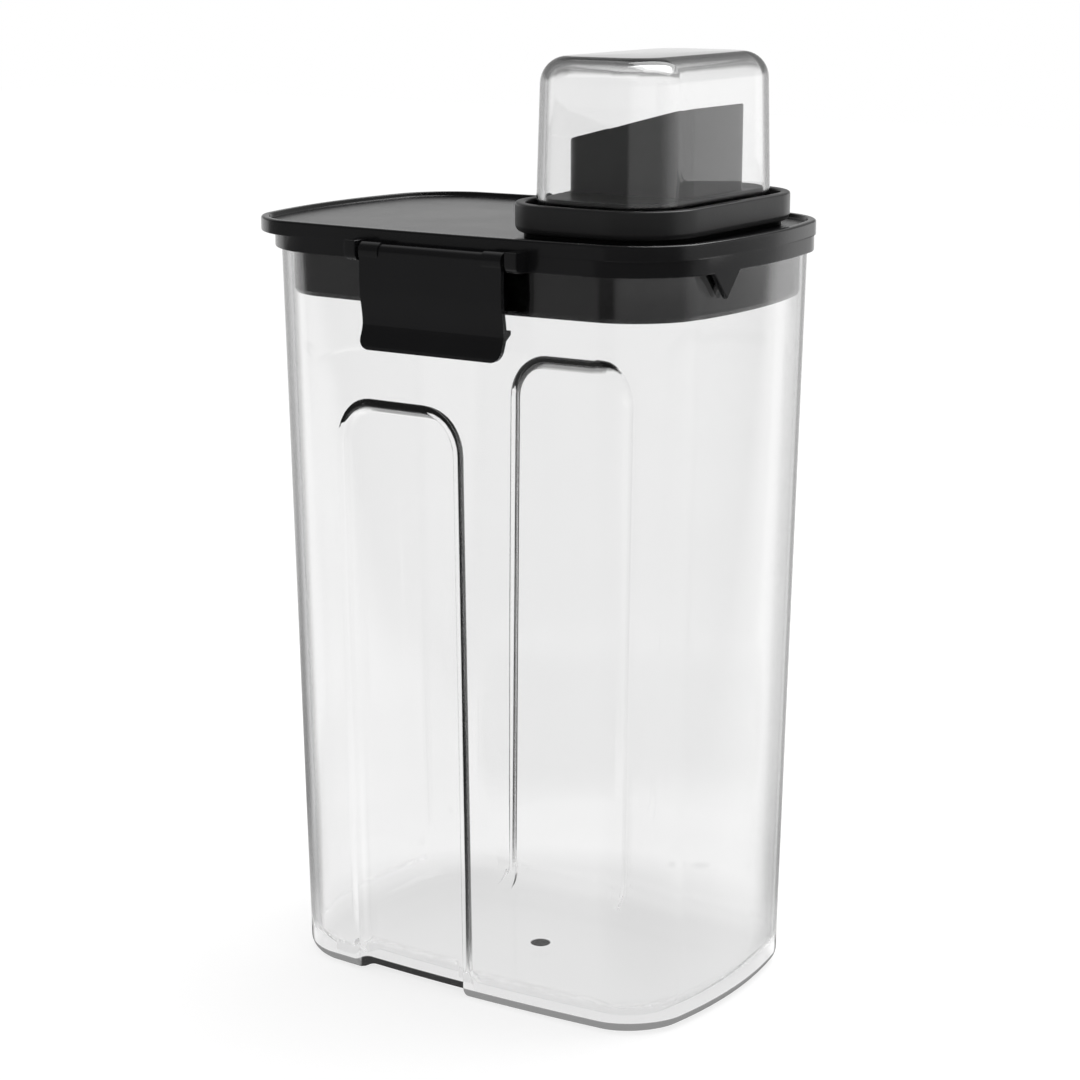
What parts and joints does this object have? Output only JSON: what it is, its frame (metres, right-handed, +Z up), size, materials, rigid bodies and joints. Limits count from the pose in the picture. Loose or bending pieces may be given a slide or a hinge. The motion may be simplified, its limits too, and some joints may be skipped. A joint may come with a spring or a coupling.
{
  "type": "dry food container with pouring spout",
  "caption": "Tall clear container with latched lid, slanted pouring spout and measuring cup that caps the spout.",
  "frame": {"origin": "middle of the footprint's bounding rectangle, on the surface the container stands on", "axes": "+Z up, +X along the container towards the spout, -Y towards the latch the picture shows"},
  "size_m": [0.1894, 0.1432, 0.34],
  "materials": {
    "clear_plastic": "clear, polished",
    "black_plastic": "satin gloss",
    "spout_plastic": "satin",
    "silicone": "soft matt"
  },
  "bodies": {
    "container": {"body": "clear_plastic"},
    "lid": {"lid": "black_plastic", "lid_gasket": "silicone", "spout_insert": "spout_plastic", "insert_gasket": "silicone", "cup_seal": "silicone"},
    "cup": {"cup": "clear_plastic"},
    "latch_front": {"latch_front": "black_plastic"},
    "latch_rear": {"latch_rear": "black_plastic"}
  },
  "joints": [
    {"name": "lid_lift", "type": "slide", "parent": "container", "child": "lid", "axis": [0, 0, 1], "range_m": [0, 0.06]},
    {"name": "cup_lift", "type": "slide", "parent": "lid", "child": "cup", "axis": [0, 0, 1], "range_m": [0, 0.07]},
    {"name": "latch_front_flip", "type": "hinge", "parent": "lid", "child": "latch_front", "pos_m": [0.0025, -0.0678, 0.2741], "axis": [-1, 0, 0], "range_deg": [-3.2, 130]},
    {"name": "latch_rear_flip", "type": "hinge", "parent": "lid", "child": "latch_rear", "pos_m": [0.0025, 0.0678, 0.2741], "axis": [1, 0, 0], "range_deg": [-3.2, 130]}
  ]
}
